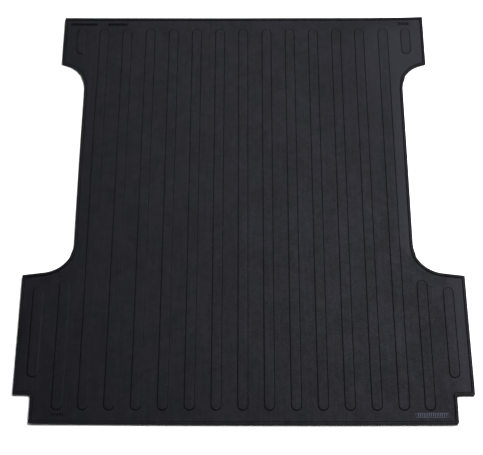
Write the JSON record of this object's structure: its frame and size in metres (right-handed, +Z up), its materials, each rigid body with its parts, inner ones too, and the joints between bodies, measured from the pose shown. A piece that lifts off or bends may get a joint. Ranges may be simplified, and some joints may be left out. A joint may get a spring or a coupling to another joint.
{
  "type": "truck bed mat",
  "caption": "Flat moulded rubber mat for a pickup truck bed, with a raised lip, straight obround ribs and cut-outs for the wheel housings.",
  "frame": {"origin": "centre of the footprint, on the plane of the underside nib tips", "axes": "+X to the right-hand side of the truck bed, +Y along the ribs to the front of the bed (the cab), +Z up out of the cargo face"},
  "size_m": [1.645, 1.7, 0.0105],
  "materials": {
    "sheet_rubber": "matt moulded rubber with a fine pebble grain",
    "lip_rubber": "matt moulded rubber, slightly polished on the crest",
    "rib_rubber": "matt moulded rubber with a fine pebble grain, slightly rubbed on top",
    "label_face": "smooth dark moulded rubber, blank",
    "badge_face": "satin grey panel, blank"
  },
  "bodies": {
    "root": {"floor_sheet": "sheet_rubber", "perimeter_lip": "lip_rubber", "long_rib_centre": "rib_rubber", "long_rib_left_1": "rib_rubber", "long_rib_left_2": "rib_rubber", "long_rib_left_3": "rib_rubber", "long_rib_left_4": "rib_rubber", "long_rib_left_5": "rib_rubber", "long_rib_left_6": "rib_rubber", "long_rib_right_1": "rib_rubber", "long_rib_right_2": "rib_rubber", "long_rib_right_3": "rib_rubber", "long_rib_right_4": "rib_rubber", "long_rib_right_5": "rib_rubber", "long_rib_right_6": "rib_rubber", "front_rib_left": "rib_rubber", "rear_rib_left_inner": "rib_rubber", "rear_rib_left_outer": "rib_rubber", "front_rib_right": "rib_rubber", "rear_rib_right_inner": "rib_rubber", "rear_rib_right_outer": "rib_rubber", "badge_panel_rear_right": "badge_face", "label_panel_front_left_outer": "label_face", "label_panel_front_left_inner": "label_face", "marking_panel_front_right": "label_face", "marking_panel_rear_left": "label_face"}
  },
  "joints": []
}
